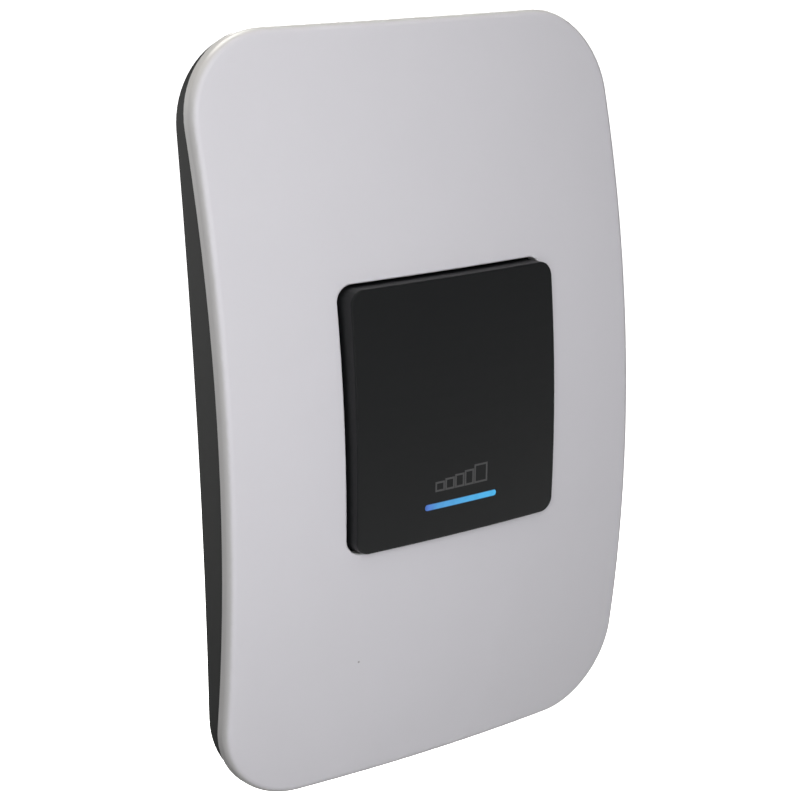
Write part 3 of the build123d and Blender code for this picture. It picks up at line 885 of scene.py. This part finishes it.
class DIMMER_OT_return_springs(bpy.types.Operator):
    """Wind the two springs that push the paddle back"""

    bl_idname = "dimmer.return_springs"
    bl_label = "Return springs"

    pressed_share = 0.84
    wire_sides = 14
    steps = 40
    sharp_angle = 60.0
    tint = (0.50, 0.49, 0.47)
    roughness = 0.25
    marks = (2000.0, 2000.0, 2000.0)

    def execute(self, context):
        look = context.scene.dimmer_housing
        low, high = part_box("return_springs")
        steel = metal("bright_spring_steel", look.spring, self.tint, self.roughness, self.marks)
        wire = look.spring_wire
        outer = (high.z - low.z) / 2
        pitch = (high.y - low.y - 2 * wire) / look.spring_turns
        deselect()
        place = (outer - wire, 0, 0)
        bpy.ops.mesh.primitive_circle_add(vertices=self.wire_sides, radius=wire, location=place)
        right = bpy.context.object
        right.name = "return_spring_right"
        freeze(right)
        helix(right, pitch, look.spring_turns, self.steps)
        left = copied(right, "return_spring_left")
        centre = (low.z + high.z) / 2
        right.location = (high.x - outer, low.y + wire, centre)
        left.location = (low.x + outer, low.y + wire, centre)
        for spring in (right, left):
            settle(spring, steel, self.sharp_angle)
            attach(spring, FIXED)
            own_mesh(spring)
            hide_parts("return_springs")
        return {"FINISHED"}


class DIMMER_OT_small_metal(bpy.types.Operator):
    """Finish the small screws, the clamps and the heat sink"""

    bl_idname = "dimmer.small_metal"
    bl_label = "Small metal"

    rolled_marks = (300.0, 9000.0, 9000.0)

    def execute(self, context):
        look = context.scene.dimmer_housing
        sheet = context.scene.dimmer_board.aluminium
        zinc = zinc_plated("zinc_plate", look)
        oxide = metal("black_oxide", look.oxide, tint=(0.075, 0.066, 0.058), roughness=0.42)
        brass = metal("milled_brass", look.brass, tint=(0.52, 0.33, 0.13), roughness=0.34)
        rolled = metal("mill_aluminium", sheet, (0.47, 0.47, 0.48), 0.4, self.rolled_marks)
        dress("heat_sink_screws", zinc)
        dress("terminal_screws", zinc)
        dress("housing_screws", oxide)
        dress("terminal_clamps", brass)
        dress("heat_sink", rolled)
        return {"FINISHED"}


class DIMMER_OT_main_board(bpy.types.Operator):
    """Lacquer the board, with its tracks, its pads and its sawn edge"""

    bl_idname = "dimmer.main_board"
    bl_label = "Main board"

    tracks = {"Scale": 1.0 / MM, "Brick Width": 6.35, "Row Height": 1.27, "Mortar Size": 0.08}
    pads = {"Spacing": 2.54 * MM, "Size": 1.3 * MM, "Share": 0.45}
    skin = 0.04 * MM
    relief = 0.03 * MM

    def execute(self, context):
        look = context.scene.dimmer_board
        low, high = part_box("main_board")
        material, tree, shader = moulded(
            "board_lacquer", look.mask, roughness=0.32, grain=0.1 * MM, variation=0.2
        )
        axes = object_axes(tree)
        flat = node(tree, "ShaderNodeCombineXYZ", {"X": axes["X"], "Y": axes["Z"]})
        lines = {"Vector": flat.outputs["Vector"], **self.tracks}
        tracks = node(tree, "ShaderNodeTexBrick", lines).outputs["Fac"]
        pads = place_group(tree, specks, **self.pads)["Mask"]
        sawn = between(axes["Y"], low.y + self.skin, high.y - self.skin)
        overlay(shader, tracks, look.track)
        overlay(shader, pads, look.tin)
        overlay(shader, sawn, look.laminate)
        connect(shader, Metallic=both(pads, outside(sawn)))
        bump(shader, maths("MAXIMUM", tracks, pads), self.relief)
        dress("main_board", material)
        return {"FINISHED"}


class DIMMER_OT_switch(bpy.types.Operator):
    """Finish the switch, its plunger and the diodes that light the bar"""

    bl_idname = "dimmer.switch"
    bl_label = "Switch and diodes"

    cover_depth = 0.3 * MM
    cover_tone = (0.55, 0.55, 0.54)
    rivet_inset = 1.1 * MM
    rivet_radius = 0.5 * MM
    diode_pitch = 4.5 * MM
    case_tone = (0.72, 0.72, 0.70)
    lens_tone = (0.62, 0.42, 0.03)
    lens_radius = 0.6 * MM
    lens_stretch = 0.6
    lens_depth = 0.05 * MM

    def execute(self, context):
        look = context.scene.dimmer_board
        self.body(look)
        self.diodes()
        plunger = moulded(
            "red_plunger", look.plunger, 0.45, grain=0.1 * MM, depth=0.003 * MM, variation=0.1
        )[0]
        dress("tact_plunger", plunger)
        return {"FINISHED"}

    def body(self, look):
        """Black body under a thin steel cover with four rivets."""
        low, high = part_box("tact_switch")
        material, tree, shader = moulded(
            "switch_black", look.resin, 0.5, grain=0.12 * MM, depth=0.004 * MM, variation=0.2
        )
        axes = object_axes(tree)
        cover = below(axes["Y"], low.y + self.cover_depth)
        across = maths("ABSOLUTE", axes["X"])
        rise = maths("SUBTRACT", axes["Z"], (low.z + high.z) / 2)
        along = maths("ABSOLUTE", rise)
        reach = (high.x - low.x) / 2 - self.rivet_inset
        rivet = below(off_centre(across, along, reach, reach), self.rivet_radius)
        overlay(shader, cover, mixed_colour(rivet, self.cover_tone, look.resin))
        connect(shader, Metallic=both(cover, outside(rivet)))
        dress("tact_switch", material)

    def diodes(self):
        """White cases with an oval window of yellow resin."""
        low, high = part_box("indicator_leds")
        material, tree, shader = moulded(
            "diode_white", self.case_tone, roughness=0.4, grain=0.1 * MM, depth=0.002 * MM
        )
        axes = object_axes(tree)
        across = maths("MULTIPLY", repeated(axes["X"], self.diode_pitch), self.lens_stretch)
        out = off_centre(across, axes["Z"], 0.0, (low.z + high.z) / 2)
        front = below(axes["Y"], low.y + self.lens_depth)
        overlay(shader, both(below(out, self.lens_radius), front), self.lens_tone)
        dress("indicator_leds", material)


class DIMMER_OT_cans(bpy.types.Operator):
    """Finish the capacitors and the fuse"""

    bl_idname = "dimmer.cans"
    bl_label = "Capacitors and fuse"

    stripe = (1.2, 1.95)
    stripe_tone = (0.42, 0.43, 0.45)
    can_tone = (0.60, 0.60, 0.62)
    can_share = 0.78
    can_skin = 0.1 * MM
    score_half = 0.1 * MM
    score_tone = (0.16, 0.16, 0.17)
    resin_height = 0.9 * MM
    resin_tone = (0.30, 0.17, 0.008)
    lid_ring = (2.7 * MM, 2.95 * MM)
    lid_line = (1.0 * MM, 1.2 * MM)
    groove_tone = (0.03, 0.006, 0.003)
    groove_depth = 0.05 * MM

    def execute(self, context):
        look = context.scene.dimmer_board
        self.supply(look)
        self.film(look)
        self.fuse(look)
        return {"FINISHED"}

    def supply(self, look):
        """Shrunk sleeve with a pale stripe, open over the scored end of the can."""
        low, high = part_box("supply_capacitor")
        centre = (low + high) / 2
        material, tree, shader = moulded(
            "sleeve_blue", look.sleeve, 0.3, grain=0.3 * MM, depth=0.004 * MM, variation=0.15
        )
        axes = object_axes(tree)
        across = maths("SUBTRACT", axes["X"], centre.x)
        along = maths("SUBTRACT", axes["Z"], centre.z)
        stripe = between(maths("ARCTAN2", along, across), *self.stripe)
        out = off_centre(across, along, 0.0, 0.0)
        inside = below(out, self.can_share * (high.x - centre.x))
        end = both(inside, above(axes["Y"], high.y - self.can_skin))
        nearest = maths("MINIMUM", maths("ABSOLUTE", across), maths("ABSOLUTE", along))
        score = below(nearest, self.score_half)
        overlay(shader, stripe, self.stripe_tone)
        overlay(shader, end, mixed_colour(score, self.can_tone, self.score_tone))
        connect(shader, Metallic=end)
        dress("supply_capacitor", material)

    def film(self, look):
        """Moulded case with a band of poured resin at its foot."""
        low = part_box("film_capacitor")[0]
        material, tree, shader = moulded(
            "film_yellow", look.film, 0.42, grain=0.18 * MM, depth=0.006 * MM, variation=0.12
        )
        foot = below(object_axes(tree)["Y"], low.y + self.resin_height)
        overlay(shader, foot, self.resin_tone)
        dress("film_capacitor", material)

    def fuse(self, look):
        """Round case with a moulded step round its lid."""
        low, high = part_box("fuse")
        centre = (low + high) / 2
        material, tree, shader = moulded(
            "fuse_brown", look.fuse, roughness=0.4, grain=0.15 * MM, variation=0.2
        )
        axes = object_axes(tree)
        out = off_centre(axes["X"], axes["Z"], centre.x, centre.z)
        ring = between(out, *self.lid_ring)
        line = between(axes["Y"], *(low.y + depth for depth in self.lid_line))
        groove = maths("MAXIMUM", ring, line)
        overlay(shader, groove, self.groove_tone)
        bump(shader, outside(groove), self.groove_depth)
        dress("fuse", material)


class DIMMER_OT_choke(bpy.types.Operator):
    """Finish the choke's core and its winding"""

    bl_idname = "dimmer.choke"
    bl_label = "Choke"

    tint = (0.42, 0.11, 0.03)
    marks = (900.0, 900.0, 900.0)
    coat = 0.5
    coat_roughness = 0.15

    def execute(self, context):
        look = context.scene.dimmer_board
        core = moulded(
            "sintered_ferrite", look.ferrite, 0.62, grain=0.14 * MM, depth=0.012 * MM, variation=0.6
        )[0]
        wire = metal("enamelled_copper", look.copper, self.tint, 0.3, self.marks)
        enamel = wire.node_tree.nodes["Principled BSDF"].inputs
        enamel["Coat Weight"].default_value = self.coat
        enamel["Coat Roughness"].default_value = self.coat_roughness
        dress("choke_core", core)
        dress("choke_winding", wire)
        return {"FINISHED"}


class DIMMER_OT_soldered(bpy.types.Operator):
    """Finish the chip, the resistors and the power transistors"""

    bl_idname = "dimmer.soldered"
    bl_label = "Chip, resistors and transistors"

    mark_inset = (1.2 * MM, 1.1 * MM)
    mark_radius = 0.4 * MM
    mark_tone = (0.03, 0.03, 0.03)
    lead_pitch = 1.27 * MM
    lead_half = 0.2 * MM
    lead_skin = 0.02 * MM
    lead_height = 0.7 * MM
    resistor_pitch = 7.5 * MM
    resistor_length = 6.3 * MM
    band_half = 0.28 * MM
    bands = [
        (-1.9 * MM, (0.10, 0.035, 0.012)),
        (-0.9 * MM, (0.006, 0.006, 0.006)),
        (0.1 * MM, (0.30, 0.012, 0.010)),
        (1.9 * MM, (0.38, 0.25, 0.06)),
    ]
    transistor_leads = 3.0 * MM
    transistor_body = 9.0 * MM
    transistor_tab = 1.3 * MM

    def execute(self, context):
        look = context.scene.dimmer_board
        self.chip(look)
        self.resistors(look)
        self.transistors(look)
        return {"FINISHED"}

    def chip(self, look):
        """Black resin with a round mark by the first lead, and two rows of tinned leads."""
        low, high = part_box("controller_chip")
        material, tree, shader = moulded(
            "chip_resin", look.resin, 0.55, grain=0.09 * MM, depth=0.004 * MM, variation=0.3
        )
        axes = object_axes(tree)
        across, down = self.mark_inset
        out = off_centre(axes["X"], axes["Z"], low.x + across, high.z - down)
        mark = below(out, self.mark_radius)
        rise = maths("SUBTRACT", axes["Z"], (low.z + high.z) / 2)
        row = maths("ABSOLUTE", repeated(rise, self.lead_pitch))
        lead = below(row, self.lead_half)
        side = above(maths("ABSOLUTE", axes["X"]), high.x - self.lead_skin)
        foot = above(axes["Y"], high.y - self.lead_height)
        tinned = both(lead, both(side, foot))
        overlay(shader, mark, self.mark_tone)
        overlay(shader, tinned, look.tin)
        connect(shader, Metallic=tinned)
        dress("controller_chip", material)

    def resistors(self, look):
        """Lacquered bodies with four painted bands."""
        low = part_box("resistors")[0]
        material, tree, shader = moulded(
            "resistor_lacquer", look.lacquer, 0.3, grain=0.2 * MM, depth=0.006 * MM, variation=0.2
        )
        middle = low.x + self.resistor_length / 2
        shifted = maths("SUBTRACT", object_axes(tree)["X"], middle)
        local = repeated(shifted, self.resistor_pitch)
        for place, tone in self.bands:
            band = between(local, place - self.band_half, place + self.band_half)
            overlay(shader, band, tone)
        dress("resistors", material)

    def transistors(self, look):
        """Black resin bodies on tinned tabs and leads."""
        low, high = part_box("power_transistors")
        material, tree, shader = moulded(
            "transistor_resin", look.resin, 0.5, grain=0.12 * MM, depth=0.006 * MM, variation=0.3
        )
        axes = object_axes(tree)
        foot = low.y + self.transistor_leads
        along = between(axes["Y"], foot, foot + self.transistor_body)
        front = below(axes["Z"], high.z - self.transistor_tab)
        resin = both(along, front)
        tone = mixed_colour(resin, look.tin, feeding(shader, "Base Color"))
        connect(shader, Base_Color=tone, Metallic=outside(resin))
        dress("power_transistors", material)


class DIMMER_OT_stage(bpy.types.Operator):
    """Set the floor, the lights and the camera"""

    bl_idname = "dimmer.stage"
    bl_label = "Stage"

    camera_place = Vector((-0.18691, -0.26142, 0.07468))
    view_line = Vector((0.5657, 0.7921, -0.2291))
    up_line = Vector((0.1591, 0.1678, 0.9729))
    sensor_width = 36.0
    floor_size = 30.0
    shade_place = (-0.28, 0.36)
    neutral = (1.0, 1.0, 1.0)
    warm = (1.0, 0.985, 0.94)
    amber = (1.0, 0.97, 0.89)
    soft_warm = (1.0, 0.98, 0.96)

    def execute(self, context):
        look = context.scene.dimmer_stage
        self.floor(look)
        self.world(context.scene, look)
        near = (look.near, look.near_size)
        far = (look.far, look.far_size)
        wide = (look.far, look.wide_size)
        plan = [
            ("camera_side", -30, 12, near, self.neutral, False),
            ("front", 0, 10, near, self.neutral, False),
            ("upper_left", -35, 47, wide, self.warm, True),
            ("overhead", 180, 70, far, self.amber, True),
            ("rear_left", -155, 5, far, self.soft_warm, True),
            ("rear_right", 140, 20, far, self.neutral, True),
        ]
        for name, azimuth, elevation, place, tone, in_gloss in plan:
            lamp = self.lamp(name, azimuth, elevation, place, getattr(look, name), tone)
            lamp.visible_glossy = in_gloss
        self.camera(context.scene, look)
        context.scene.view_settings.view_transform = "Standard"
        return {"FINISHED"}

    def floor(self, look):
        """A wide floor, washed out to white. In the gloss it is faint and shaded at the back."""
        deselect()
        drop = cad_box[0][2] - look.floor_drop
        bpy.ops.mesh.primitive_plane_add(size=self.floor_size, location=(0, 0, drop))
        floor = bpy.context.object
        floor.name = "floor"
        material, tree, shader = moulded(
            "pale_floor", look.floor, 0.7, grain=4 * MM, depth=0.02 * MM, variation=0.01
        )
        seen = node(tree, "ShaderNodeLightPath").outputs["Is Camera Ray"]
        axes = object_axes(tree)
        reach = off_centre(axes["X"], axes["Y"], *self.shade_place)
        bright = climb(reach, look.shade_inner, look.shade_outer, "SMOOTHSTEP")
        pale = maths("MAXIMUM", seen, bright)
        shine = maths("MULTIPLY", bright, look.floor_shine)
        tone = feeding(shader, "Base Color")
        connect(
            shader,
            Base_Color=mixed_colour(pale, look.floor_shade, tone),
            Emission_Color=tone,
            Emission_Strength=maths("MULTIPLY_ADD", seen, look.floor_glow, shine),
        )
        floor.data.materials.append(material)
        floor.visible_diffuse = False

    def world(self, scene, look):
        """A white room that lights the object only faintly."""
        scene.world = bpy.data.worlds.new("room")
        scene.world.use_nodes = True
        tree = scene.world.node_tree
        seen = node(tree, "ShaderNodeLightPath").outputs["Is Camera Ray"]
        background = tree.nodes["Background"]
        background.inputs["Color"].default_value = solid(self.neutral)
        connect(background, Strength=maths("MAXIMUM", seen, look.room))

    def lamp(self, name, azimuth, elevation, place, watts, tone):
        """A soft round light, turned to the object."""
        distance, size = place
        light = bpy.data.lights.new(name, "AREA")
        light.shape = "DISK"
        light.size = size
        light.energy = watts
        light.color = tone
        obj = bpy.data.objects.new(name, light)
        bpy.context.scene.collection.objects.link(obj)
        side = math.radians(azimuth)
        rise = math.radians(elevation)
        level = math.cos(rise)
        ray = Vector((math.sin(side) * level, -math.cos(side) * level, math.sin(rise)))
        obj.location = ray * distance
        obj.rotation_euler = (-ray).to_track_quat("-Z", "Y").to_euler()
        obj.visible_camera = False
        return obj

    def camera(self, scene, look):
        """The camera at the photo's angle."""
        data = bpy.data.cameras.new("camera")
        data.sensor_width = self.sensor_width
        data.lens = look.lens
        camera = bpy.data.objects.new("camera", data)
        scene.collection.objects.link(camera)
        back = -self.view_line.normalized()
        right = self.up_line.cross(back).normalized()
        up = back.cross(right)
        turn = Matrix((right, up, back)).transposed().to_4x4()
        camera.matrix_world = Matrix.Translation(self.camera_place) @ turn
        scene.camera = camera


GROUPS = {
    "dimmer_cover": CoverSettings,
    "dimmer_button": ButtonSettings,
    "dimmer_housing": HousingSettings,
    "dimmer_board": BoardSettings,
    "dimmer_stage": StageSettings,
}
OPERATORS = [
    DIMMER_OT_cover_plate,
    DIMMER_OT_base_frame,
    DIMMER_OT_push_button,
    DIMMER_OT_level_symbol,
    DIMMER_OT_light_bar,
    DIMMER_OT_housing,
    DIMMER_OT_wall_screws,
    DIMMER_OT_return_springs,
    DIMMER_OT_small_metal,
    DIMMER_OT_main_board,
    DIMMER_OT_switch,
    DIMMER_OT_cans,
    DIMMER_OT_choke,
    DIMMER_OT_soldered,
    DIMMER_OT_stage,
]


class DIMMER_PT_sidebar(bpy.types.Panel):
    """Lists the steps that finish the dimmer"""

    bl_label = "Pushbutton dimmer"
    bl_space_type = "VIEW_3D"
    bl_region_type = "UI"
    bl_category = "Dimmer"

    def draw(self, context):
        for operator in OPERATORS:
            self.layout.operator(operator.bl_idname)


def register():
    for name, group in GROUPS.items():
        bpy.utils.register_class(group)
        setattr(bpy.types.Scene, name, PointerProperty(type=group))
    for cls in [*OPERATORS, DIMMER_PT_sidebar]:
        bpy.utils.register_class(cls)


def unregister():
    for cls in [DIMMER_PT_sidebar, *reversed(OPERATORS)]:
        bpy.utils.unregister_class(cls)
    for name, group in reversed(GROUPS.items()):
        delattr(bpy.types.Scene, name)
        bpy.utils.unregister_class(group)


def main():
    """Runs every step."""
    register()
    for operator in OPERATORS:
        family, name = operator.bl_idname.split(".")
        getattr(getattr(bpy.ops, family), name)()


if __name__ == "__main__":
    main()
